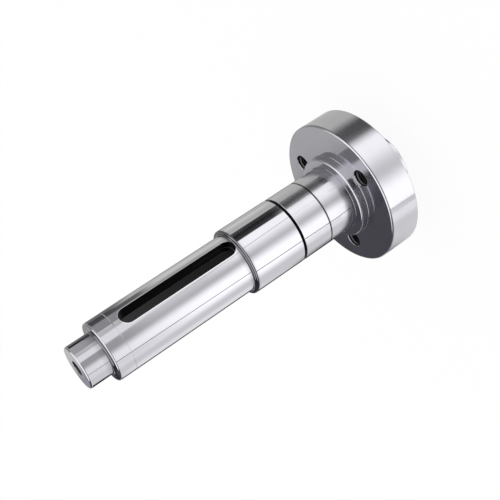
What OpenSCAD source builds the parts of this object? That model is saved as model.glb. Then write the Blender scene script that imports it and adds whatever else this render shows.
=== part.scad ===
// Flange shaft, turned and ground from one piece of steel.
// It stands on the flat end of its rear spigot. Z runs along the axis towards the tip,
// and the keyway faces -Y. All sizes are in millimetres, angles in degrees.

/* [Rear spigot] */
// Diameter of the spigot behind the flange
spigot_d = 40; // [32:0.5:46]
// Length of the spigot, from its flat end to the rear face of the flange
spigot_l = 17; // [10:0.5:30]
// Radius at the root of the spigot
spigot_root = 0.8; // [0.4:0.1:1.5]

/* [Flange] */
// Outer diameter of the flange
flange_d = 88; // [84:1:110]
// Thickness of the flange
flange_t = 20; // [12:0.5:28]
// Number of tapped holes in the flange
bolt_n = 3; // [3:3:6]
// Diameter of the circle that the tapped holes lie on
bolt_pcd = 62; // [62:0.5:68]
// Thread diameter of the holes in the flange
bolt_d = 10; // [8:1:10]
// Mouth diameter of the holes in the flange
bolt_mouth_d = 10.8; // [10.2:0.1:11]
// Turn about Z from the keyway to the nearest hole in the flange
bolt_turn = -30; // [-60:5:60]

/* [Collar] */
// Diameter of the low collar in front of the flange
collar_d = 50; // [44:0.5:51]
// Height of the collar
collar_h = 5; // [3:0.5:12]
// Radius at the root of the collar
collar_root = 0.5; // [0.2:0.1:0.6]

/* [Seats] */
// Diameter of the three seats between the collar and the shoulder
seat_d = 40; // [38.5:0.5:42]
// Length of the seat next to the collar
seat_a_l = 18; // [12:0.5:30]
// Length of the middle seat
seat_b_l = 18; // [12:0.5:30]
// Length of the seat that ends at the shoulder
seat_c_l = 33.2; // [20:0.1:45]
// Radius at the root of the seat next to the collar
seat_root = 0.4; // [0.2:0.1:0.8]
// Width of the fine line that parts the first two seats
line_w = 0.6; // [0.4:0.1:1.5]
// Depth of that fine line
line_h = 0.5; // [0.2:0.1:1]
// Width of the retaining ring groove
ring_w = 1.7; // [1.3:0.05:2.65]
// Diameter at the bottom of the retaining ring groove
ring_d = 37.5; // [36:0.1:37.9]

/* [Keyed seat] */
// Diameter of the keyed seat
keyed_d = 35; // [32:0.5:36]
// Length of the keyed seat, from the shoulder to its end face
keyed_l = 88.5; // [80:0.5:110]
// Radius at the root of the keyed seat
keyed_root = 1.2; // [0.4:0.1:1.2]
// Length of the lead at the end of the keyed seat
lead_l = 10; // [5:0.5:12]
// Step of the lead, measured on the radius
lead_step = 0.05; // [0.02:0.01:0.2]
// Width of the keyway
key_w = 10; // [8:0.5:12]
// Depth of the keyway, below the top of the keyed seat
key_h = 5; // [3:0.1:6]
// Length of the keyway, round ends included
key_l = 74; // [40:0.5:76]
// Distance from the shoulder to the round end of the keyway
key_gap = 0.4; // [0.4:0.1:2]

/* [Tip journal] */
// Diameter of the tip journal
tip_d = 25; // [20:0.5:28]
// Length of the tip journal
tip_l = 14.5; // [10:0.5:30]
// Radius at the root of the tip journal
tip_root = 0.8; // [0.4:0.1:1.2]
// Thread diameter of the hole in the tip
tip_bore_d = 8; // [5:1:8]
// Depth of the full bore of the hole in the tip
tip_bore_l = 20; // [12:0.5:30]
// Mouth diameter of the hole in the tip
tip_mouth_d = 9.2; // [8.4:0.1:12]

/* [Rear centre] */
// Drill diameter of the centre in the flat end of the spigot
centre_d = 4; // [2:0.1:5]
// Mouth diameter of that centre
centre_mouth_d = 8.5; // [6:0.1:10]
// Depth of the drilled part of that centre
centre_l = 4; // [3:0.1:8]

/* [Edges] */
// Chamfer on every outer edge
edge_c = 0.5; // [0.2:0.1:0.8]
// Chamfer on both edges of the retaining ring groove
groove_c = 0.15; // [0.05:0.05:0.3]

/* [Hidden] */
$fn = 192;
over = 1;
drill_point = 118;
centre_angle = 60;
mouth_angle = 90;

// Heights of the faces, from the flat end of the spigot up
z_flange = spigot_l;
z_front = z_flange + flange_t;
z_collar = z_front + collar_h;
z_line = z_collar + seat_a_l;
z_seat_b = z_line + line_w;
z_ring = z_seat_b + seat_b_l;
z_seat_c = z_ring + ring_w;
z_shoulder = z_seat_c + seat_c_l;
z_keyed_end = z_shoulder + keyed_l;
z_lead = z_keyed_end - lead_l;
z_tip = z_keyed_end + tip_l;

// Radii of the turned steps
spigot_r = spigot_d / 2;
flange_r = flange_d / 2;
collar_r = collar_d / 2;
seat_r = seat_d / 2;
ring_r = ring_d / 2;
keyed_r = keyed_d / 2;
lead_r = keyed_r - lead_step;
tip_r = tip_d / 2;

// The keyway, seen along -Y
key_floor = keyed_r - key_h;
key_low = z_shoulder + key_gap + key_w / 2;
key_high = z_shoulder + key_gap + key_l - key_w / 2;
key_angle = -90;

flange_shaft();

// Half of the section of one turned step, chamfered below and above where asked
module step(r, low, high, below = 0, above = 0) {
    polygon([
        [0, low], [r - below, low], [r, low + below],
        [r, high - above], [r - above, high], [0, high]
    ]);
}

// Fillet between a wall of radius r and the face below it
module root_above(r, face, f) {
    difference() {
        translate([r - over, face - over]) square(f + over);
        translate([r + f, face + f]) circle(f);
    }
}

// Fillet between a wall of radius r and the face above it
module root_below(r, face, f) {
    difference() {
        translate([r - over, face - f]) square(f + over);
        translate([r + f, face - f]) circle(f);
    }
}

// Spigot behind the flange, chamfered at its flat end
module spigot_section() {
    step(spigot_r, 0, z_flange, below = edge_c);
    root_below(spigot_r, z_flange, spigot_root);
}

// Flange disc, chamfered at both rims
module flange_section() {
    step(flange_r, z_flange, z_front, below = edge_c, above = edge_c);
}

// Low collar on the front face of the flange
module collar_section() {
    step(collar_r, z_front, z_collar, above = edge_c);
    root_above(collar_r, z_front, collar_root);
}

// Three seats of one diameter, parted by the fine line and by the ring groove
module seat_section() {
    difference() {
        union() {
            step(seat_r, z_collar, z_shoulder, above = edge_c);
            root_above(seat_r, z_collar, seat_root);
        }
        translate([seat_r - line_h, z_line]) square([line_h + over, line_w]);
        ring_groove_section();
    }
}

// Square groove with lightly chamfered edges
module ring_groove_section() {
    out = seat_r + over;
    flare = groove_c + over;
    polygon([
        [ring_r, z_ring], [seat_r - groove_c, z_ring], [out, z_ring - flare],
        [out, z_seat_c + flare], [seat_r - groove_c, z_seat_c], [ring_r, z_seat_c]
    ]);
}

// Keyed seat with its slightly smaller lead
module keyed_section() {
    step(keyed_r, z_shoulder, z_lead, above = lead_step);
    step(lead_r, z_lead, z_keyed_end, above = edge_c);
    root_above(keyed_r, z_shoulder, keyed_root);
}

// Tip journal, chamfered at its end
module tip_section() {
    step(tip_r, z_keyed_end, z_tip, above = edge_c);
    root_above(tip_r, z_keyed_end, tip_root);
}

// Round-ended keyway, milled straight down from the -Y side
module keyway() {
    translate([0, -key_floor, 0]) rotate([90, 0, 0])
        linear_extrude(key_h + over) {
            translate([0, key_low]) circle(d = key_w);
            translate([0, key_high]) circle(d = key_w);
            translate([-key_w / 2, key_low]) square([key_w, key_high - key_low]);
        }
}

// Cone that opens a mouth of diameter d upwards at height z, with the full angle given
module mouth(d, z, angle) {
    depth = d / 2 / tan(angle / 2);
    grow = over * tan(angle / 2);
    translate([0, 0, z - depth]) cylinder(h = depth + over, r1 = 0, r2 = d / 2 + grow);
}

// Tapped holes right through the flange, with a mouth on each face
module flange_holes() {
    for (i = [0 : bolt_n - 1])
        rotate([0, 0, key_angle + bolt_turn + i * 360 / bolt_n]) translate([bolt_pcd / 2, 0, 0]) {
            translate([0, 0, z_flange - over]) cylinder(h = flange_t + 2 * over, d = bolt_d);
            mouth(bolt_mouth_d, z_front, mouth_angle);
            mirror([0, 0, 1]) mouth(bolt_mouth_d, -z_flange, mouth_angle);
        }
}

// Tapped hole in the tip, with a drill point below and a mouth above
module tip_hole() {
    point = tip_bore_d / 2 / tan(drill_point / 2);
    translate([0, 0, z_tip - tip_bore_l]) cylinder(h = tip_bore_l + over, d = tip_bore_d);
    translate([0, 0, z_tip - tip_bore_l - point]) cylinder(h = point, r1 = 0, r2 = tip_bore_d / 2);
    mouth(tip_mouth_d, z_tip, mouth_angle);
}

// Centre that the shaft was turned on, in the flat end of the spigot
module rear_centre() {
    cone = (centre_mouth_d - centre_d) / 2 / tan(centre_angle / 2);
    point = centre_d / 2 / tan(drill_point / 2);
    translate([0, 0, -over]) cylinder(h = over + cone + centre_l, d = centre_d);
    translate([0, 0, cone + centre_l]) cylinder(h = point, r1 = centre_d / 2, r2 = 0);
    mirror([0, 0, 1]) mouth(centre_mouth_d, 0, centre_angle);
}

// The whole shaft, turned from the side that the keyway faces
module flange_shaft() {
    color([0.72, 0.72, 0.74])
        difference() {
            rotate([0, 0, key_angle]) rotate_extrude() {
                spigot_section();
                flange_section();
                collar_section();
                seat_section();
                keyed_section();
                tip_section();
            }
            keyway();
            flange_holes();
            tip_hole();
            rear_centre();
        }
}
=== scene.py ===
"""Looks of a flange shaft: steel finishes, thread turns, studio and camera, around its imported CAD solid.

Everything is in metres in the part's own frame. Z runs along the shaft, which stands on its rear spigot,
and the keyway faces -Y.
"""

import math

import bmesh
import bpy
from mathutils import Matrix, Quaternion, Vector


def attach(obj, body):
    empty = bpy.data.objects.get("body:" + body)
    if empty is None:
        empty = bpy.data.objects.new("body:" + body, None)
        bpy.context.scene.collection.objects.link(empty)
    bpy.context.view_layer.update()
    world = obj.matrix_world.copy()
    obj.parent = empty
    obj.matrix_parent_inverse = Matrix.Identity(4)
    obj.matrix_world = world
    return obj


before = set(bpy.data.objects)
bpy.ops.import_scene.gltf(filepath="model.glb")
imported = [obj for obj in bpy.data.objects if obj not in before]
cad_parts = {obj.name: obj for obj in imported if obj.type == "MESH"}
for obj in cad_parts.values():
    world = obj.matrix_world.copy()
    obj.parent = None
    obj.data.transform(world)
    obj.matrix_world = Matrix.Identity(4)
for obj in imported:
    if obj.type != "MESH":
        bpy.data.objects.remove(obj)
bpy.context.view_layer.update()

MM = 0.001
TURN = 2 * math.pi

# ---------------------------------------------------------------- sizes, as in the part's source
SPIGOT_R = 20 * MM
FLANGE_R = 44 * MM
COLLAR_R = 25 * MM
SEAT_R = 20 * MM
KEYED_R = 17.5 * MM
LEAD_R = 17.45 * MM
TIP_R = 12.5 * MM

FLANGE_BACK = 17 * MM
FLANGE_FRONT = 37 * MM
COLLAR_TOP = 42 * MM
FINE_LINE = 60 * MM
LINE_WIDTH = 0.6 * MM
RING_GROOVE = 78.6 * MM
RING_WIDTH = 1.7 * MM
SHOULDER = 113.5 * MM
LEAD = 192 * MM
KEYED_END = 202 * MM
TIP_END = 216.5 * MM

CHAMFER = 0.5 * MM
SPIGOT_ROOT = 0.8 * MM
COLLAR_ROOT = 0.5 * MM
SEAT_ROOT = 0.4 * MM
KEYED_ROOT = 1.2 * MM
TIP_ROOT = 0.8 * MM

KEY_HALF = 5 * MM
KEY_FLOOR = 12.5 * MM
KEY_LOW = 118.9 * MM
KEY_HIGH = 182.9 * MM

BOLT_CIRCLE = 31 * MM
BOLT_ANGLES = (0, 120, -120)
BOLT_R = 5 * MM
BOLT_MOUTH_R = 5.4 * MM
TIP_BORE_R = 4 * MM
TIP_MOUTH_R = 4.6 * MM
TIP_BORE_DEPTH = 20 * MM

# ---------------------------------------------------------------- camera, from the photograph
CAMERA_PLACE = (-0.243583, -0.413852, 0.292840)
CAMERA_AIM = (0.001233, -0.000731, 0.102124)
CAMERA_ROLL = -123.6914
CAMERA_LENS = 67.3389
SENSOR = 36.0
CAMERA_NEAR = 0.01
CAMERA_FAR = 50
# Degrees round Z at which the camera stands
CAMERA_SIDE = -120.48


def polar(radius, degrees, z):
    a = math.radians(degrees)
    return (radius * math.cos(a), radius * math.sin(a), z)


# ---------------------------------------------------------------- helpers for shader nodes
class Nodes:
    """Places nodes in one tree and links them; a number or colour given for an input is set on its socket."""

    def __init__(self, tree):
        self.tree = tree

    def place(self, kind, label=None, **inputs):
        node = self.tree.nodes.new(kind)
        if label:
            node.label = label
        self.feed(node, **inputs)
        return node

    def feed(self, node, **inputs):
        for key, value in inputs.items():
            socket = node.inputs[int(key[1:]) if key[0] == "_" else key.replace("_", " ")]
            if isinstance(value, bpy.types.NodeSocket):
                self.tree.links.new(value, socket)
            elif value is not None:
                socket.default_value = value

    def math(self, operation, a, b=None, c=None, clamp=False):
        """One calculation with numbers, named as Blender names it; MULTIPLY_ADD and WRAP take a third number, c."""
        node = self.place("ShaderNodeMath", _0=a, _1=b, _2=c)
        node.operation = operation
        node.use_clamp = clamp
        return node.outputs[0]

    def vector(self, operation, a, b=None):
        node = self.place("ShaderNodeVectorMath", _0=a, _1=b)
        node.operation = operation
        return node.outputs["Value" if operation in ("LENGTH", "DISTANCE", "DOT_PRODUCT") else "Vector"]

    def larger(self, a, b):
        return self.math("MAXIMUM", a, b)

    def times(self, a, b):
        return self.math("MULTIPLY", a, b)

    def between(self, value, low, high):
        """1 where the value lies between low and high."""
        return self.times(self.math("GREATER_THAN", value, low), self.math("LESS_THAN", value, high))

    def ramp(self, value, start, end, low=0.0, high=1.0, smooth=True):
        """From low at start to high at end, and level beyond."""
        node = self.place("ShaderNodeMapRange", Value=value, _1=start, _2=end, _3=low, _4=high)
        node.interpolation_type = "SMOOTHSTEP" if smooth else "LINEAR"
        return node.outputs[0]

    def blend(self, factor, a, b):
        """Number a where factor is 0, b where it is 1."""
        node = self.place("ShaderNodeMix", _0=factor, _2=a, _3=b)
        node.data_type = "FLOAT"
        return node.outputs[0]

    def tint(self, factor, a, b):
        """Colour a where factor is 0, b where it is 1."""
        node = self.place("ShaderNodeMix")
        node.data_type = "RGBA"
        self.feed(node, _0=factor, _6=a, _7=b)
        return node.outputs[2]

    def split(self, vector):
        return self.place("ShaderNodeSeparateXYZ", Vector=vector).outputs

    def turned(self, position):
        """Distance from the shaft's axis, and height."""
        x, y, z = self.split(position)
        return self.vector("LENGTH", self.join(x, y, 0.0)), z

    def join(self, x, y, z):
        return self.place("ShaderNodeCombineXYZ", X=x, Y=y, Z=z).outputs[0]

    def noise(self, vector, scale, detail=2.0, roughness=0.5):
        return self.place("ShaderNodeTexNoise", Vector=vector, Scale=scale, Detail=detail,
                          Roughness=roughness).outputs["Fac"]

    def group(self, made, label=None, **inputs):
        node = self.tree.nodes.new("ShaderNodeGroup")
        node.node_tree = made
        node.label = label or made.name
        self.feed(node, **inputs)
        return node.outputs


def new_group(name, inputs, outputs):
    """An empty shader group. inputs gives each name its kind and first value; outputs gives each name its kind."""
    tree = bpy.data.node_groups.new(name, "ShaderNodeTree")
    kinds = {"value": "NodeSocketFloat", "vector": "NodeSocketVector"}
    for label, (kind, first) in inputs.items():
        socket = tree.interface.new_socket(name=label, in_out="INPUT", socket_type=kinds[kind])
        socket.default_value = first
    for label, kind in outputs.items():
        tree.interface.new_socket(name=label, in_out="OUTPUT", socket_type=kinds[kind])
    kit = Nodes(tree)
    start = tree.nodes.new("NodeGroupInput").outputs
    end = tree.nodes.new("NodeGroupOutput")
    return kit, start, end


# ---------------------------------------------------------------- effects that materials share
ZERO = (0.0, 0.0, 0.0)
EIGHTH_TURN = TURN / 8


def make_turned_marks():
    """Fine rings left by the tool, round the shaft's axis on walls and on faces alike."""
    kit, start, end = new_group(
        "turned_marks",
        {"Position": ("vector", ZERO), "Spacing": ("value", 0.0003), "Wander": ("value", 0.3)},
        {"Height": "value", "Streak": "value"})
    broad_scale, broad_share = 0.12, 0.6
    x, y, z = kit.split(start["Position"])
    radius = kit.vector("LENGTH", kit.join(x, y, 0.0))
    across = kit.math("DIVIDE", radius, start["Spacing"])
    along = kit.math("DIVIDE", z, start["Spacing"])
    turn = kit.times(kit.math("ARCTAN2", y, x), start["Wander"])
    rings = kit.join(across, along, turn)
    fine = kit.noise(rings, 1.0, detail=2.0, roughness=0.6)
    broad = kit.noise(rings, broad_scale, detail=1.0)
    streak = kit.math("MULTIPLY_ADD", broad, broad_share, kit.times(fine, 1.0 - broad_share))
    kit.feed(end, Height=fine, Streak=streak)
    return kit.tree


def make_length_scratches():
    """Sparse hairlines that run along the shaft, from parts slid over it."""
    kit, start, end = new_group(
        "length_scratches",
        {"Position": ("vector", ZERO), "Count": ("value", 60.0), "Length": ("value", 0.03),
         "Amount": ("value", 0.5)},
        {"Mask": "value"})
    faint, clear = 0.60, 0.72
    x, y, z = kit.split(start["Position"])
    turn = kit.times(kit.math("ARCTAN2", y, x), start["Count"])
    along = kit.math("DIVIDE", z, start["Length"])
    lines = kit.noise(kit.join(turn, along, 0.0), 1.0, detail=3.0, roughness=0.7)
    kit.feed(end, Mask=kit.times(kit.ramp(lines, faint, clear), start["Amount"]))
    return kit.tree


def make_ring_edge():
    """Mask that is 1 at one turned edge and fades to 0 at Reach from it."""
    kit, start, end = new_group(
        "ring_edge",
        {"Position": ("vector", ZERO), "Radius": ("value", 0.02), "Height": ("value", 0.1),
         "Reach": ("value", 0.001)},
        {"Mask": "value"})
    radius, z = kit.turned(start["Position"])
    off = kit.vector("LENGTH", kit.join(kit.math("SUBTRACT", radius, start["Radius"]),
                                        kit.math("SUBTRACT", z, start["Height"]), 0.0))
    kit.feed(end, Mask=kit.math("SUBTRACT", 1.0, kit.math("DIVIDE", off, start["Reach"]), clamp=True))
    return kit.tree


def make_inside_keyway():
    """Masks of the milled keyway.

    Mask is its floor and walls, Cut all of it with the mouth, Rim the edge of the mouth, Floor the floor alone, and
    Corner the floor's edge, fading out from the lower round end upwards.
    """
    kit, start, end = new_group(
        "inside_keyway",
        {"Position": ("vector", ZERO), "Half width": ("value", KEY_HALF), "Low": ("value", KEY_LOW),
         "High": ("value", KEY_HIGH), "Wall radius": ("value", KEYED_R)},
        {"Mask": "value", "Cut": "value", "Rim": "value", "Floor": "value", "Corner": "value"})
    wall_from, wall_to, barely = 0.02 * MM, 0.06 * MM, 0.001
    shallow, deep_from, deep_to = 0.005 * MM, 0.05 * MM, 0.12 * MM
    rim_middle, rim_full, rim_reach = 0.15 * MM, 0.10 * MM, 0.40 * MM
    corner_middle, corner_full, corner_reach = 0.35 * MM, 0.15 * MM, 0.35 * MM
    floor_slack = 0.05 * MM
    corner_length = 28 * MM
    x, y, z = kit.split(start["Position"])
    radius = kit.vector("LENGTH", kit.join(x, y, 0.0))
    mid = kit.math("MINIMUM", kit.larger(z, start["Low"]), start["High"])
    off = kit.vector("LENGTH", kit.join(x, kit.math("SUBTRACT", z, mid), 0.0))
    inside = kit.ramp(off, kit.math("ADD", start["Half width"], wall_to),
                      kit.math("ADD", start["Half width"], wall_from))
    below = kit.math("SUBTRACT", start["Wall radius"], radius)
    deep = kit.ramp(below, deep_from, deep_to)
    front = kit.math("LESS_THAN", y, 0.0)
    mask = kit.times(kit.times(inside, deep), front)
    cut = kit.times(kit.math("GREATER_THAN", inside, barely), front)
    cut = kit.times(cut, kit.math("GREATER_THAN", below, shallow))
    gap = kit.math("SUBTRACT", kit.math("SUBTRACT", off, start["Half width"]), rim_middle)
    rim = kit.times(kit.ramp(kit.math("ABSOLUTE", gap), rim_reach, rim_full), front)
    rim = kit.times(rim, kit.math("SUBTRACT", 1.0, deep))
    above_floor = kit.math("ABSOLUTE", kit.math("ADD", y, KEY_FLOOR))
    floor = kit.times(kit.math("LESS_THAN", above_floor, floor_slack), inside)
    gap = kit.math("SUBTRACT", kit.math("SUBTRACT", start["Half width"], off), corner_middle)
    corner = kit.times(kit.ramp(kit.math("ABSOLUTE", gap), corner_reach, corner_full), floor)
    corner = kit.times(corner, kit.ramp(z, kit.math("ADD", start["Low"], corner_length), start["Low"]))
    kit.feed(end, Mask=mask, Cut=cut, Rim=rim, Floor=floor, Corner=corner)
    return kit.tree


def make_inside_hole():
    """Mask of one hole along Z."""
    kit, start, end = new_group(
        "inside_hole",
        {"Position": ("vector", ZERO), "Centre": ("vector", ZERO), "Radius": ("value", BOLT_R),
         "Low": ("value", 0.0), "High": ("value", 1.0)},
        {"Mask": "value"})
    wall_from, wall_to = 0.02 * MM, 0.08 * MM
    x, y, z = kit.split(start["Position"])
    off = kit.vector("DISTANCE", kit.join(x, y, 0.0), start["Centre"])
    inside = kit.ramp(off, kit.math("ADD", start["Radius"], wall_to), kit.math("ADD", start["Radius"], wall_from))
    kit.feed(end, Mask=kit.times(inside, kit.between(z, start["Low"], start["High"])))
    return kit.tree


def make_inside_groove():
    """Mask of a turned groove: all that lies under the wall it is cut into, between two heights."""
    kit, start, end = new_group(
        "inside_groove",
        {"Position": ("vector", ZERO), "Wall radius": ("value", SEAT_R), "Low": ("value", 0.0),
         "High": ("value", 1.0)},
        {"Mask": "value"})
    soft = 0.15 * MM
    radius, z = kit.turned(start["Position"])
    under = kit.ramp(radius, start["Wall radius"], kit.math("SUBTRACT", start["Wall radius"], soft))
    kit.feed(end, Mask=kit.times(under, kit.between(z, start["Low"], start["High"])))
    return kit.tree


def make_rounded_corner():
    """Slope of a chamfered outer corner with softened edges, which the mesh is too coarse for.

    Side is 1 where the chamfer looks up and -1 where it looks down. Near fades from 1 at the corner to 0 at Reach.
    """
    kit, start, end = new_group(
        "rounded_corner",
        {"Position": ("vector", ZERO), "Radius": ("value", 0.02), "Height": ("value", 0.1),
         "Chamfer": ("value", CHAMFER), "Softness": ("value", 0.35 * MM), "Reach": ("value", 0.9 * MM),
         "Side": ("value", 1.0)},
        {"Near": "value", "Mask": "value", "Rise": "value"})
    radius, z = kit.turned(start["Position"])
    inward = kit.math("SUBTRACT", start["Radius"], radius)
    below = kit.times(kit.math("SUBTRACT", start["Height"], z), start["Side"])
    off = kit.vector("LENGTH", kit.join(inward, below, 0.0))
    near = kit.math("SUBTRACT", 1.0, kit.math("DIVIDE", off, start["Reach"]), clamp=True)
    along = kit.math("SUBTRACT", inward, below)
    minus = kit.times(start["Chamfer"], -1.0)
    first = kit.ramp(along, kit.math("SUBTRACT", minus, start["Softness"]),
                     kit.math("ADD", minus, start["Softness"]), smooth=False)
    second = kit.ramp(along, kit.math("SUBTRACT", start["Chamfer"], start["Softness"]),
                      kit.math("ADD", start["Chamfer"], start["Softness"]), smooth=False)
    angle = kit.times(kit.math("ADD", first, second), EIGHTH_TURN)
    mask = kit.math("GREATER_THAN", near, 0.0)
    rise = kit.times(kit.times(kit.math("SINE", angle), start["Side"]), mask)
    kit.feed(end, Near=near, Mask=mask, Rise=rise)
    return kit.tree


def make_hollow_root():
    """Slope of the root between a wall and the face at its foot. Side is 1 where that face looks up, else -1."""
    kit, start, end = new_group(
        "hollow_root",
        {"Position": ("vector", ZERO), "Wall radius": ("value", 0.02), "Face height": ("value", 0.1),
         "Root": ("value", 0.0005), "Side": ("value", 1.0)},
        {"Mask": "value", "Rise": "value"})
    slack = 0.1
    radius, z = kit.turned(start["Position"])
    out = kit.math("DIVIDE", kit.math("SUBTRACT", radius, start["Wall radius"]), start["Root"])
    up = kit.times(kit.math("SUBTRACT", z, start["Face height"]), start["Side"])
    up = kit.math("DIVIDE", up, start["Root"])
    mask = kit.times(kit.between(out, -slack, 1.0), kit.between(up, -slack, 1.0))
    rise = kit.times(kit.math("SUBTRACT", 1.0, up, clamp=True), start["Side"])
    kit.feed(end, Mask=mask, Rise=kit.times(rise, mask))
    return kit.tree


def make_ground_relief():
    """Slope left beside a shoulder by the grinding wheel: full over half its length, then running out."""
    kit, start, end = new_group(
        "ground_relief",
        {"Position": ("vector", ZERO), "Wall radius": ("value", 0.02), "Foot": ("value", 0.1),
         "Length": ("value", 0.003), "Slope": ("value", 0.0)},
        {"Mask": "value", "Rise": "value"})
    slack = 0.04 * MM
    full_until = 0.5
    radius, z = kit.turned(start["Position"])
    off = kit.math("ABSOLUTE", kit.math("SUBTRACT", radius, start["Wall radius"]))
    up = kit.math("DIVIDE", kit.math("SUBTRACT", z, start["Foot"]), start["Length"])
    mask = kit.times(kit.math("LESS_THAN", off, slack), kit.between(up, 0.0, 1.0))
    rise = kit.times(kit.times(kit.ramp(up, 1.0, full_until), start["Slope"]), mask)
    kit.feed(end, Mask=mask, Rise=rise)
    return kit.tree


def make_small_marks():
    """Few small nicks and smudges, as handling leaves them."""
    kit, start, end = new_group(
        "small_marks",
        {"Position": ("vector", ZERO), "Size": ("value", 0.0035), "Share": ("value", 0.3)},
        {"Mask": "value"})
    level_at_none, fall_per_share, soft = 0.76, 0.1, 0.05
    spots = kit.noise(start["Position"], kit.math("DIVIDE", 1.0, start["Size"]), detail=3.0, roughness=0.6)
    level = kit.math("SUBTRACT", level_at_none, kit.times(start["Share"], fall_per_share))
    kit.feed(end, Mask=kit.ramp(spots, level, kit.math("ADD", level, soft)))
    return kit.tree


def make_turned_normal():
    """Exact normal of a surface turned about Z.

    Rise is its upward part where Known is 1; elsewhere the mesh's own is taken. Keep is 1 where all of the mesh's
    own normal stays.
    """
    kit, start, end = new_group(
        "turned_normal",
        {"Position": ("vector", ZERO), "Normal": ("vector", (0.0, 0.0, 1.0)), "Rise": ("value", 0.0),
         "Known": ("value", 0.0), "Keep": ("value", 0.0)},
        {"Normal": "vector"})
    x, y, z = kit.split(start["Position"])
    outward = kit.vector("NORMALIZE", kit.join(x, y, 0.0))
    rise = kit.blend(start["Known"], kit.split(start["Normal"])["Z"], start["Rise"])
    level = kit.math("SQRT", kit.math("SUBTRACT", 1.0, kit.times(rise, rise), clamp=True))
    side = kit.math("SIGN", kit.vector("DOT_PRODUCT", start["Normal"], outward))
    level = kit.times(level, kit.larger(side, start["Known"]))
    x, y, z = kit.split(outward)
    exact = kit.join(kit.times(x, level), kit.times(y, level), rise)
    node = kit.place("ShaderNodeMix")
    node.data_type = "VECTOR"
    kit.feed(node, _0=start["Keep"], _4=exact, _5=start["Normal"])
    kit.feed(end, Normal=node.outputs[1])
    return kit.tree


turned_marks = make_turned_marks()
length_scratches = make_length_scratches()
ring_edge = make_ring_edge()
inside_keyway = make_inside_keyway()
inside_hole = make_inside_hole()
inside_groove = make_inside_groove()
rounded_corner = make_rounded_corner()
hollow_root = make_hollow_root()
ground_relief = make_ground_relief()
small_marks = make_small_marks()
turned_normal = make_turned_normal()

# ---------------------------------------------------------------- finishes, with painted shade and painted highlights
STEEL = (0.666, 0.660, 0.704, 1)
STEEL_PALE = (0.727, 0.720, 0.768, 1)
# painted shade: the keyway's walls and floor are darkened nearly to black in the colour
KEYWAY_WALL_SHADE = (0.035, 0.035, 0.037, 1)
KEYWAY_FLOOR_SHADE = (0.085, 0.085, 0.09, 1)
# painted highlight: a light line along the edge of the keyway's floor, fading from its lower round end
KEY_CORNER_HIGHLIGHT = (0.24, 0.24, 0.25, 1)
# painted highlight: a near-white line round the keyway's mouth
KEY_RIM_HIGHLIGHT = (0.95, 0.95, 0.97, 1)
# painted shade: the bores and the tip bore's mouth are darkened nearly to black in the colour
BORE_SHADE = (0.05, 0.05, 0.053, 1)
# painted shade: the grooves are darkened to black in the colour
GROOVE_SHADE = (0.012, 0.012, 0.013, 1)
# partly wear and partly painted highlight: edges are lightened in the colour, in patches
WORN_EDGE_AND_HIGHLIGHT = (0.86, 0.86, 0.87, 1)
# painted shade for roots, shoulders, grooves' sides and hole mouths; the same dark colour also serves real handling
# smudges
SHADE_AND_SMUDGE_STEEL = (0.13, 0.13, 0.145, 1)
# painted shade: the thread turns in the holes are darkened nearly to black in the colour
SHADED_THREAD = (0.045, 0.045, 0.048, 1)
SHADED_THREAD_PALE = (0.11, 0.11, 0.117, 1)

# Corners: radius, height, and 1 or -1 as the chamfer looks up or down
CORNERS = (
    (SPIGOT_R, 0.0, -1), (FLANGE_R, FLANGE_BACK, -1), (FLANGE_R, FLANGE_FRONT, 1), (COLLAR_R, COLLAR_TOP, 1),
    (SEAT_R, SHOULDER, 1), (LEAD_R, KEYED_END, 1), (TIP_R, TIP_END, 1),
)
# Roots: wall radius, height of the face, radius of the root, 1 or -1 as the face looks up or down, and how dark
# painted shade makes it
ROOTS = (
    (SPIGOT_R, FLANGE_BACK, SPIGOT_ROOT, -1, 0.3), (COLLAR_R, FLANGE_FRONT, COLLAR_ROOT, 1, 0.4),
    (SEAT_R, COLLAR_TOP, SEAT_ROOT, 1, 0.55), (KEYED_R, SHOULDER, KEYED_ROOT, 1, 0.8),
    (TIP_R, KEYED_END, TIP_ROOT, 1, 0.7),
)
# More places darkened round them with painted shade: radius, height, how far it reaches, and how dark it is
PAINTED_SHADE_RINGS = (
    (TIP_R, KEYED_END, 4.5 * MM, 0.5), (KEYED_R, SHOULDER, 3.5 * MM, 0.55),
    (SEAT_R - 0.2 * MM, SHOULDER - 0.2 * MM, 1.4 * MM, 0.75),
    (SEAT_R, FINE_LINE + 0.5 * LINE_WIDTH, 0.9 * MM, 1.0),
    (FLANGE_R, FLANGE_FRONT - 0.75 * MM, 0.45 * MM, 1.0),
)
# Painted shade also on the shoulder, on the line below its chamfer and on the end face of the keyed seat
SHOULDER_SHADE = 0.85
SHOULDER_LINE_DEPTH = 0.5 * MM
SHOULDER_LINE_REACH = 0.4 * MM
END_FACE_SHADE = 0.65
# Grinding relief beside the collar: its length and its slope where it is full
RELIEF_LENGTH = 12 * MM
RELIEF_SLOPE = 0.056
# Grooves in the seats, from their lower to their upper edge
GROOVES = (("fine_line", FINE_LINE, FINE_LINE + LINE_WIDTH),
           ("ring_groove", RING_GROOVE, RING_GROOVE + RING_WIDTH))
LEAD_LINE_REACH = 0.4 * MM
GROOVE_EDGE_REACH = 0.6 * MM

# Roughness of the ground walls, from their smoothest to their roughest streaks
ROUGH_GROUND = (0.03, 0.042)
# What is added to it
ROUGHER_SEATS = 0.065
ROUGHER_FLANGE = 0.03
ROUGHER_RIM = 0.045
ROUGHER_COLLAR = 0.12
ROUGHER_IN_SHADE = 0.08
ROUGHER_MARKS = 0.15
ROUGHER_CLOUD = 0.02
ROUGHER_SCRATCH = 0.02
ROUGHER_WORN = 0.06
ROUGHER_KEY_RIM = 0.04
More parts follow.
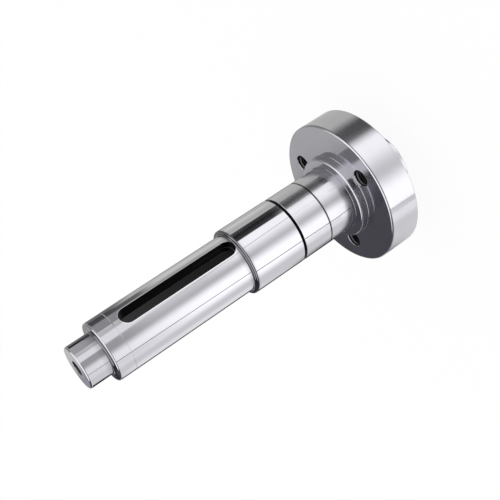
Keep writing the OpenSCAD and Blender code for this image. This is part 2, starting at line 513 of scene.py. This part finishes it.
# Roughness of what is cut and not ground
ROUGH_KEYWAY = 0.13
ROUGH_KEY_CORNER = 0.5
ROUGH_BORED = 0.38
ROUGH_GROOVE = 0.45
ROUGH_LEAD_LINE = 0.3

# Roughness of cut threads, from their smoothest to their roughest streaks
ROUGH_THREAD = (0.24, 0.4)

# A quarter turn, the angle between the marks and the way they spread reflections
QUARTER = 0.25
# How strongly turning marks bend the light, on ground walls and on cut threads, and how deep they are
GROUND_BUMP = 0.05
THREAD_BUMP = 0.15
MARK_DEPTH = 0.02 * MM
# Heights of broad rings and of scratches, as shares of the fine rings'
BROAD_RING_HEIGHT = 0.8
SCRATCH_HEIGHT = -0.6

# How strongly wear with painted highlight, smudges and painted shade tint the steel where their masks are full
WORN_AND_HIGHLIGHT_TINT = 0.5
MARK_TINT = 0.5
BOLT_MOUTH_SHADE = 0.6
TIP_MOUTH_SHADE = 0.95


def new_material(name):
    material = bpy.data.materials.new(name)
    material.use_nodes = True
    tree = material.node_tree
    tree.nodes.clear()
    kit = Nodes(tree)
    shader = kit.place("ShaderNodeBsdfPrincipled")
    kit.place("ShaderNodeOutputMaterial", Surface=shader.outputs[0])
    return material, kit, shader


def make_shaft_steel():
    """Bright turned and ground steel; its keyway, bores, grooves, roots and hole mouths are darkened with painted
    shade, and its edges are lightened with wear and painted highlight.
    """
    material, kit, shader = new_material("ground_steel")
    position = kit.place("ShaderNodeTexCoord").outputs["Object"]
    radius, height_up = kit.turned(position)
    fine = kit.group(turned_marks, Position=position, Spacing=0.22 * MM, Wander=0.6)
    coarse = kit.group(turned_marks, "broad_rings", Position=position, Spacing=1.4 * MM, Wander=0.15)
    hair = kit.group(length_scratches, Position=position, Count=70.0, Length=35 * MM, Amount=0.5)["Mask"]
    marks = kit.group(small_marks, Position=position, Size=3.5 * MM, Share=0.3)["Mask"]
    cloud = kit.noise(position, 45.0, detail=3.0)

    def ring(label, at_radius, at_height, reach):
        return kit.group(ring_edge, label, Position=position, Radius=at_radius, Height=at_height,
                         Reach=reach)["Mask"]

    def groove(label, wall, low, high):
        return kit.group(inside_groove, label, Position=position, Wall_radius=wall, Low=low, High=high)["Mask"]

    def hole(label, centre, hole_radius, low, high):
        return kit.group(inside_hole, label, Position=position, Centre=centre, Radius=hole_radius, Low=low,
                         High=high)["Mask"]

    # corners, roots and the relief, with their exact slopes
    lead = ring("lead_line", KEYED_R, LEAD, LEAD_LINE_REACH)
    edge, painted_shade, known, rise = 0.0, 0.0, kit.math("GREATER_THAN", lead, 0.0), 0.0
    for at_radius, at_height, side in CORNERS:
        corner = kit.group(rounded_corner, Position=position, Radius=at_radius, Height=at_height, Side=side)
        edge = kit.larger(edge, corner["Near"])
        known = kit.larger(known, corner["Mask"])
        rise = kit.math("ADD", rise, corner["Rise"])
    for wall, face, root, side, dark in ROOTS:
        hollow = kit.group(hollow_root, Position=position, Wall_radius=wall, Face_height=face, Root=root, Side=side)
        painted_shade = kit.larger(painted_shade, kit.times(hollow["Mask"], dark))
        known = kit.larger(known, hollow["Mask"])
        rise = kit.math("ADD", rise, hollow["Rise"])
    relief = kit.group(ground_relief, Position=position, Wall_radius=SEAT_R, Foot=COLLAR_TOP + SEAT_ROOT,
                       Length=RELIEF_LENGTH, Slope=RELIEF_SLOPE)
    known = kit.larger(known, relief["Mask"])
    rise = kit.math("ADD", rise, relief["Rise"])

    # painted shade, darkening roots, rings beside them, the shoulder and the keyed seat's end face in the colour
    for at_radius, at_height, reach, dark in PAINTED_SHADE_RINGS:
        painted_shade = kit.larger(painted_shade, kit.times(ring("painted_shade_ring", at_radius, at_height, reach), dark))
    shoulder_face = groove("shoulder_face", SEAT_R - 0.35 * MM, SHOULDER - 0.1 * MM, SHOULDER + 0.5 * MM)
    painted_shade = kit.larger(painted_shade, kit.times(shoulder_face, SHOULDER_SHADE))
    end_face = groove("end_face", LEAD_R - 0.4 * MM, KEYED_END - 0.1 * MM, KEYED_END + 0.1 * MM)
    painted_shade = kit.larger(painted_shade, kit.times(end_face, END_FACE_SHADE))
    shoulder_line = ring("shoulder_line", SEAT_R, SHOULDER - SHOULDER_LINE_DEPTH, SHOULDER_LINE_REACH)
    painted_shade = kit.larger(painted_shade, kit.ramp(shoulder_line, 0.0, 0.5))

    # grooves, worn edges with painted highlights, keyway and bores
    grooves = 0.0
    for label, low, high in GROOVES:
        grooves = kit.larger(grooves, groove(label, SEAT_R, low, high))
        for at_height in (low, high):
            edge = kit.larger(edge, ring("groove_edge", SEAT_R, at_height, GROOVE_EDGE_REACH))
    worn_and_highlight = kit.times(edge, kit.ramp(cloud, 0.35, 0.65))
    key = kit.group(inside_keyway, Position=position)
    shaded_bores = hole("tip_bore", ZERO, TIP_BORE_R, TIP_END - 1.5 * TIP_BORE_DEPTH, TIP_END)
    tip_mouth = hole("tip_mouth", ZERO, TIP_MOUTH_R, TIP_END - 1.0 * MM, TIP_END - 0.02 * MM)
    bolt_mouths = 0.0
    for angle in BOLT_ANGLES:
        centre = polar(BOLT_CIRCLE, angle, 0.0)
        shaded_bores = kit.larger(shaded_bores, hole("bolt_hole", centre, BOLT_R, FLANGE_BACK, FLANGE_FRONT))
        bolt_mouths = kit.larger(bolt_mouths, hole("bolt_mouth", centre, BOLT_MOUTH_R, FLANGE_BACK, FLANGE_FRONT))

    colour = kit.tint(coarse["Streak"], STEEL, STEEL_PALE)
    # wear and painted highlight on the edges
    colour = kit.tint(kit.times(worn_and_highlight, WORN_AND_HIGHLIGHT_TINT), colour, WORN_EDGE_AND_HIGHLIGHT)
    # painted highlight round the keyway's mouth
    colour = kit.tint(key["Rim"], colour, KEY_RIM_HIGHLIGHT)
    # painted shade, together with real handling smudges
    colour = kit.tint(kit.larger(painted_shade, kit.times(marks, MARK_TINT)), colour, SHADE_AND_SMUDGE_STEEL)
    # painted shade: the keyway is darkened in the colour
    colour = kit.tint(key["Mask"], colour, kit.tint(key["Floor"], KEYWAY_WALL_SHADE, KEYWAY_FLOOR_SHADE))
    # painted highlight along the edge of the keyway's floor
    colour = kit.tint(key["Corner"], colour, KEY_CORNER_HIGHLIGHT)
    # painted shade in the chamfered mouths of the bolt holes
    colour = kit.tint(kit.times(bolt_mouths, BOLT_MOUTH_SHADE), colour, SHADE_AND_SMUDGE_STEEL)
    # painted shade in the bores and in the tip bore's mouth
    colour = kit.tint(kit.larger(shaded_bores, kit.times(tip_mouth, TIP_MOUTH_SHADE)), colour, BORE_SHADE)
    # painted shade in the grooves
    colour = kit.tint(grooves, colour, GROOVE_SHADE)

    seats = kit.times(kit.ramp(radius, SEAT_R + 0.4 * MM, SEAT_R + 0.2 * MM),
                      kit.ramp(height_up, RING_GROOVE + 0.5 * MM, RING_GROOVE))
    flange = kit.ramp(radius, COLLAR_R + 0.3 * MM, COLLAR_R + 0.5 * MM)
    rim = kit.ramp(radius, FLANGE_R - 0.3 * MM, FLANGE_R - 0.1 * MM)
    collar = groove("collar_wall", COLLAR_R + 0.3 * MM, FLANGE_FRONT + 0.1 * MM, COLLAR_TOP - 0.1 * MM)
    collar = kit.times(collar, kit.ramp(radius, COLLAR_R - 0.6 * MM, COLLAR_R - 0.4 * MM))
    rough = kit.ramp(fine["Streak"], 0.3, 0.7, *ROUGH_GROUND)
    for mask, more in (
            (seats, ROUGHER_SEATS), (flange, ROUGHER_FLANGE), (rim, ROUGHER_RIM), (collar, ROUGHER_COLLAR),
            (painted_shade, ROUGHER_IN_SHADE), (marks, ROUGHER_MARKS), (kit.ramp(cloud, 0.45, 0.7), ROUGHER_CLOUD),
            (hair, ROUGHER_SCRATCH), (worn_and_highlight, ROUGHER_WORN), (key["Rim"], ROUGHER_KEY_RIM)):
        rough = kit.math("MULTIPLY_ADD", mask, more, rough)
    for mask, cut_rough in (
            (key["Mask"], ROUGH_KEYWAY), (key["Corner"], ROUGH_KEY_CORNER), (shaded_bores, ROUGH_BORED),
            (grooves, ROUGH_GROOVE), (kit.ramp(lead, 0.0, 0.8), ROUGH_LEAD_LINE)):
        rough = kit.blend(mask, rough, cut_rough)

    height = kit.math("MULTIPLY_ADD", coarse["Height"], BROAD_RING_HEIGHT, fine["Height"])
    height = kit.math("MULTIPLY_ADD", hair, SCRATCH_HEIGHT, height)
    surface = kit.place("ShaderNodeNewGeometry").outputs
    smooth = kit.group(turned_normal, Position=position, Normal=surface["Normal"], Rise=rise, Known=known,
                       Keep=kit.larger(key["Cut"], bolt_mouths))["Normal"]
    bump = kit.place("ShaderNodeBump", Height=height, Strength=GROUND_BUMP, Distance=MARK_DEPTH, Normal=smooth)
    # marks that run round the shaft spread reflections along it
    kit.feed(shader, Base_Color=colour, Roughness=rough, Metallic=1.0, Anisotropic=1.0,
             Anisotropic_Rotation=QUARTER, Normal=bump.outputs[0])
    return material


def make_thread_steel():
    """Cut thread, darkened nearly to black with painted shade, far darker than the ground walls."""
    material, kit, shader = new_material("shaded_thread_steel")
    position = kit.place("ShaderNodeTexCoord").outputs["Object"]
    marks = kit.group(turned_marks, Position=position, Spacing=0.15 * MM, Wander=1.0)
    colour = kit.tint(marks["Streak"], SHADED_THREAD, SHADED_THREAD_PALE)
    rough = kit.ramp(marks["Streak"], 0.2, 0.8, *ROUGH_THREAD)
    bump = kit.place("ShaderNodeBump", Height=marks["Height"], Strength=THREAD_BUMP, Distance=MARK_DEPTH)
    kit.feed(shader, Base_Color=colour, Roughness=rough, Metallic=1.0, Normal=bump.outputs[0])
    return material


shaft_steel = make_shaft_steel()
thread_steel = make_thread_steel()

# ---------------------------------------------------------------- the shaft itself
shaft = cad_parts["flange_shaft"]
for slot in shaft.material_slots:
    slot.material = shaft_steel


# ---------------------------------------------------------------- thread turns in the holes
# Steps in a turn, then sizes of the ridge as shares of its pitch, and how far its foot lies in the hole's wall
THREAD_STEPS = 48
THREAD_DEPTH = 0.541
THREAD_HALF_FOOT = 0.47
THREAD_HALF_CREST = 0.125
THREAD_SINK = 0.02 * MM
BOLT_PITCH = 1.5 * MM
TIP_PITCH = 1.25 * MM
TIP_THREAD_LOW = TIP_END - TIP_BORE_DEPTH + 2 * MM


def thread_turns(name, centre, low, high, bore, pitch, mouth, open_below):
    """Ridge of an inner thread, swept up a plain bore.

    It fades out within half a turn at each end, short of the cone of the mouth above, and of one below if open_below.
    """
    foot, crest = bore + THREAD_SINK, bore - THREAD_DEPTH * pitch
    half_foot, half_crest = THREAD_HALF_FOOT * pitch, THREAD_HALF_CREST * pitch
    flare = mouth - bore
    low += half_foot + (flare if open_below else 0.0)
    high -= half_foot + flare
    profile = ((foot, -half_foot), (crest, -half_crest), (crest, half_crest), (foot, half_foot))
    count = int((high - low) / pitch * THREAD_STEPS)
    mesh = bmesh.new()
    rows = []
    for i in range(count + 1):
        a = TURN * i / THREAD_STEPS
        middle = low + pitch * i / THREAD_STEPS
        fade = min(1.0, i / THREAD_STEPS * 2, (count - i) / THREAD_STEPS * 2)
        row = []
        for r, up in profile:
            r = foot + (r - foot) * fade
            row.append(mesh.verts.new((centre[0] + r * math.cos(a), centre[1] + r * math.sin(a), middle + up)))
        rows.append(row)
    for below, above in zip(rows, rows[1:]):
        for k in range(len(profile)):
            n = (k + 1) % len(profile)
            mesh.faces.new((below[k], below[n], above[n], above[k]))
    mesh.faces.new(rows[0][::-1])
    mesh.faces.new(rows[-1])
    bmesh.ops.recalc_face_normals(mesh, faces=mesh.faces)
    data = bpy.data.meshes.new(name)
    mesh.to_mesh(data)
    mesh.free()
    data.materials.append(thread_steel)
    piece = bpy.data.objects.new(name, data)
    bpy.context.scene.collection.objects.link(piece)
    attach(piece, "root")


for number, angle in enumerate(BOLT_ANGLES, 1):
    thread_turns(f"flange_thread_{number}", polar(BOLT_CIRCLE, angle, 0.0), FLANGE_BACK, FLANGE_FRONT,
                 BOLT_R, BOLT_PITCH, BOLT_MOUTH_R, open_below=True)
thread_turns("tip_thread", ZERO, TIP_THREAD_LOW, TIP_END, TIP_BORE_R, TIP_PITCH, TIP_MOUTH_R, open_below=False)

# ---------------------------------------------------------------- floor
FLOOR_R = 6.0
FLOOR_SIDES = 96
FLOOR_WHITE = (0.96, 0.96, 0.96, 1)
WHITE = (1, 1, 1, 1)
# How much of the floor is plain white where it is seen; the rest is lit, and shows the shadow
FLOOR_GLOW = 0.92


def make_floor():
    """Plain pale floor, white to the camera but for the soft shadow of the shaft."""
    mesh = bmesh.new()
    bmesh.ops.create_circle(mesh, cap_ends=True, segments=FLOOR_SIDES, radius=FLOOR_R)
    data = bpy.data.meshes.new("floor")
    mesh.to_mesh(data)
    mesh.free()
    floor = bpy.data.objects.new("floor", data)
    bpy.context.scene.collection.objects.link(floor)
    material = bpy.data.materials.new("pale_floor")
    material.use_nodes = True
    material.node_tree.nodes.clear()
    kit = Nodes(material.node_tree)
    matt = kit.place("ShaderNodeBsdfDiffuse", Color=FLOOR_WHITE)
    glow = kit.place("ShaderNodeEmission", Color=WHITE, Strength=1.0)
    path = kit.place("ShaderNodeLightPath").outputs
    seen = kit.larger(path["Is Camera Ray"], kit.larger(path["Is Glossy Ray"], path["Is Transmission Ray"]))
    mix = kit.place("ShaderNodeMixShader", _0=kit.times(seen, FLOOR_GLOW), _1=matt.outputs[0], _2=glow.outputs[0])
    kit.place("ShaderNodeOutputMaterial", Surface=mix.outputs[0])
    data.materials.append(material)
    floor.visible_glossy = False


make_floor()

# ---------------------------------------------------------------- studio: soft boxes and dark cards by direction
# Only steel mirrors them; a later one lies over the earlier ones. Each card: name, middle (degrees round Z from the
# camera's side), half width, soft side, lowest and highest elevation, soft end, lean (degrees of turn per degree of
# elevation above LEAN_FROM), brightness, colour
LEAN_FROM = -25.0
PLAIN = (1.0, 1.0, 1.0)
WARM = (1.0, 0.99, 0.94)
VIOLET = (1.02, 1.0, 1.16)
CARDS = (
    # walls of the room
    ("right_wall", 124, 38, 26, -90, 60, 20, 0.0, 0.57, WARM),
    ("right_wall_bright", 125, 12, 22, -24.3, -15.5, 1.5, 0.0, 0.77, WARM),
    ("right_wall_line", 134.5, 1.6, 3.0, -24.3, -19.5, 1.0, 0.0, 0.36, WARM),
    ("back_wall", 178, 15, 14, -90, -28.6, 1.5, 0.0, 0.78, PLAIN),
    ("right_wall_step", 99, 8, 14, -19.5, -14.5, 2.0, 0.0, 0.42, WARM),
    ("back_wall_dim", 172, 14, 12, -28.0, -6, 1.0, 0.0, 0.19, PLAIN),
    ("back_wall_dark", 155, 24, 12, -13.4, -6, 2.0, 0.0, 0.19, PLAIN),
    ("left_wall", -131, 14, 16, -20.8, -11.5, 2.0, 0.0, 1.0, PLAIN),
    ("left_edge", -168, 18.5, 6, -28.5, -6, 3.0, 0.0, 0.08, PLAIN),
    ("left_edge_low", -153, 18, 44, -28.6, -24.0, 3.0, 0.0, 0.03, PLAIN),
    ("left_edge_tip", -152, 16, 14, -10.6, -5, 0.8, 0.0, 0.0, PLAIN),
    ("front_gap", -7, 10, 30, -90, 60, 16, 0.0, 0.70, PLAIN),
    ("front_gap_low", -7, 9, 28, -28.9, -26.9, 1.0, 0.0, 0.47, PLAIN),
    ("front_gap_mid", -9, 10, 30, -22.0, -5, 3, 0.0, 0.62, PLAIN),
    ("front_gap_high", 0, 20, 27, -13.5, 60, 4, 0.0, 0.43, PLAIN),
    ("front_gap_rim", -7, 12, 30, -90, -29.0, 1.0, 0.0, 0.84, PLAIN),
    # soft box to the left of the camera, with the dark joint across it
    ("key_box", -53, 29, 32, -60, -12, 16, 0.0, 1.45, PLAIN),
    ("key_box_side", -68, 12, 16, -15, -5, 6, 0.0, 0.92, PLAIN),
    ("key_box_low", -78, 9, 10, -60, -24.8, 1.0, 0.0, 1.04, PLAIN),
    ("key_joint", -63.5, 1.1, 0.8, -28.9, -6, 1.0, 0.48, 0.20, PLAIN),
    ("key_joint_low", -63.5, 1.4, 0.8, -28.9, -24.8, 1.0, 0.48, 0.0, PLAIN),
    ("key_joint_rim", -70.5, 3.9, 1.6, -60, -29.0, 1.0, 0.0, 0.62, PLAIN),
    # soft box to the right of the camera
    ("fill_box", 40, 29, 38, -60, -19.5, 3, 0.0, 1.28, PLAIN),
    ("fill_side", 50, 12, 14, -19.0, -5, 3, 0.0, 0.64, PLAIN),
    ("fill_box_high", 41.8, 14, 5, -20.0, -5, 3, -0.87, 0.98, PLAIN),
    ("fill_joint", 27.6, 1.0, 0.8, -25.3, -17, 1.0, -1.1, 0.6, PLAIN),
    # dark cards beside it
    ("dark_card_soft", 71, 20, 22, -60, -28.9, 1.0, 0.0, 0.08, PLAIN),
    ("dark_card_middle", 73.5, 18, 28, -28.9, -24.8, 1.0, 0.0, 0.15, PLAIN),
    ("dark_card", 71.5, 18.6, 4.5, -24.8, -19.2, 0.5, 0.0, 0.048, PLAIN),
    ("dark_card_core", 71, 6, 12, -24.8, -19.2, 0.5, 0.0, 0.02, PLAIN),
    ("keyway_card", 62, 13, 6, -19.8, -13.4, 0.8, 0.0, 0.05, PLAIN),
    ("grey_card", 85, 20.5, 2, -13.6, -9, 1.5, 0.0, 0.33, PLAIN),
    ("dark_band", 112.7, 11.7, 4, -14.9, -9, 1.2, 0.0, 0.14, PLAIN),
    ("dark_band_high", 120, 14, 6, -12.9, -9, 1.2, 0.0, 0.08, PLAIN),
    ("tip_grey_card", 88, 26, 3, -10.4, -6, 0.6, 0.0, 0.45, PLAIN),
    ("tip_dark_card", 122, 6.5, 1.5, -10.4, -6, 0.6, 0.0, 0.0, PLAIN),
    # above the horizon, mirrored by the flat faces
    ("upper_dark", -90, 92, 16, 6.0, 44, 0.8, 0.0, 0.09, VIOLET),
    ("tip_face_card", 170, 10.5, 1.5, -4, 9.9, 0.8, 0.0, 0.60, PLAIN),
    ("tip_face_dim", -170, 9.5, 1.5, -4, 9.9, 0.8, 0.0, 0.33, VIOLET),
    ("upper_right", 108, 54, 24, 9.9, 44, 0.8, 0.0, 0.26, PLAIN),
    ("upper_front_dark", -8, 17, 16, 24, 36, 3.0, 0.0, 0.03, PLAIN),
    ("upper_fill", 39, 19, 26, 9.9, 44, 0.8, 0.0, 0.80, PLAIN),
    ("upper_back_dark", -170, 14, 3, 9.9, 44, 0.8, 0.0, 0.078, VIOLET),
    ("end_dark_card", -172, 10, 1.2, 9.9, 14, 0.8, 0.0, 0.03, VIOLET),
    ("upper_back", 174.7, 9, 1.2, 9.9, 44, 0.8, -0.107, 0.50, PLAIN),
    ("ceiling", 0, 180, 1.0, 44, 91, 6.0, 0.0, 1.3, PLAIN),
)
ROOM = (0.80, 0.80, 0.80, 1)


def make_studio_card():
    """How much of one soft box or card lies in a direction, given as turn and elevation in degrees."""
    kit, start, end = new_group(
        "studio_card",
        {"Turn": ("value", 0.0), "Elevation": ("value", 0.0), "Middle": ("value", 0.0),
         "Half width": ("value", 10.0), "Soft side": ("value", 5.0), "Lowest": ("value", -90.0),
         "Highest": ("value", 90.0), "Soft end": ("value", 5.0), "Lean": ("value", 0.0)},
        {"Mask": "value"})
    shift = kit.times(kit.math("SUBTRACT", start["Elevation"], LEAN_FROM), start["Lean"])
    off = kit.math("SUBTRACT", kit.math("SUBTRACT", start["Turn"], start["Middle"]), shift)
    off = kit.math("ABSOLUTE", kit.math("WRAP", off, 180.0, -180.0))
    half_soft = kit.times(start["Soft side"], 0.5)
    side = kit.ramp(off, kit.math("ADD", start["Half width"], half_soft),
                    kit.math("SUBTRACT", start["Half width"], half_soft))
    half_end = kit.times(start["Soft end"], 0.5)
    above = kit.ramp(start["Elevation"], kit.math("SUBTRACT", start["Lowest"], half_end),
                     kit.math("ADD", start["Lowest"], half_end))
    below = kit.ramp(start["Elevation"], kit.math("ADD", start["Highest"], half_end),
                     kit.math("SUBTRACT", start["Highest"], half_end))
    kit.feed(end, Mask=kit.times(side, kit.times(above, below)))
    return kit.tree


def make_studio():
    """White to the camera, plain soft light on matt things, and boxes and cards for steel to mirror."""
    world = bpy.data.worlds.new("studio")
    bpy.context.scene.world = world
    world.use_nodes = True
    world.node_tree.nodes.clear()
    kit = Nodes(world.node_tree)
    card = make_studio_card()
    direction = kit.place("ShaderNodeTexCoord").outputs["Generated"]
    x, y, z = kit.split(direction)
    turn = kit.math("SUBTRACT", kit.times(kit.math("ARCTAN2", y, x), math.degrees(1)), CAMERA_SIDE)
    elevation = kit.times(kit.math("ARCSINE", z), math.degrees(1))
    light = ROOM
    for name, middle, half, side, lowest, highest, soft, lean, bright, colour in CARDS:
        mask = kit.group(card, name, Turn=turn, Elevation=elevation, Middle=middle, Half_width=half,
                         Soft_side=side, Lowest=lowest, Highest=highest, Soft_end=soft, Lean=lean)["Mask"]
        light = kit.tint(mask, light, tuple(bright * part for part in colour) + (1,))
    mirrored = kit.place("ShaderNodeLightPath").outputs["Is Glossy Ray"]
    glow = kit.place("ShaderNodeBackground", Color=kit.tint(mirrored, WHITE, light), Strength=1.0)
    kit.place("ShaderNodeOutputWorld", Surface=glow.outputs[0])
    # matt things gather the even white by themselves, and steel meets the boxes where it mirrors them
    world.cycles.sampling_method = "NONE"


make_studio()

# ---------------------------------------------------------------- camera
camera_data = bpy.data.cameras.new("camera")
camera_data.sensor_width = SENSOR
camera_data.lens = CAMERA_LENS
camera_data.clip_start = CAMERA_NEAR
camera_data.clip_end = CAMERA_FAR
camera = bpy.data.objects.new("camera", camera_data)
bpy.context.scene.collection.objects.link(camera)
camera.location = CAMERA_PLACE
look = (Vector(CAMERA_AIM) - Vector(CAMERA_PLACE)).to_track_quat("-Z", "Y")
camera.rotation_mode = "QUATERNION"
camera.rotation_quaternion = look @ Quaternion((0, 0, 1), math.radians(CAMERA_ROLL))
bpy.context.scene.camera = camera

bpy.context.scene.view_settings.view_transform = "Standard"
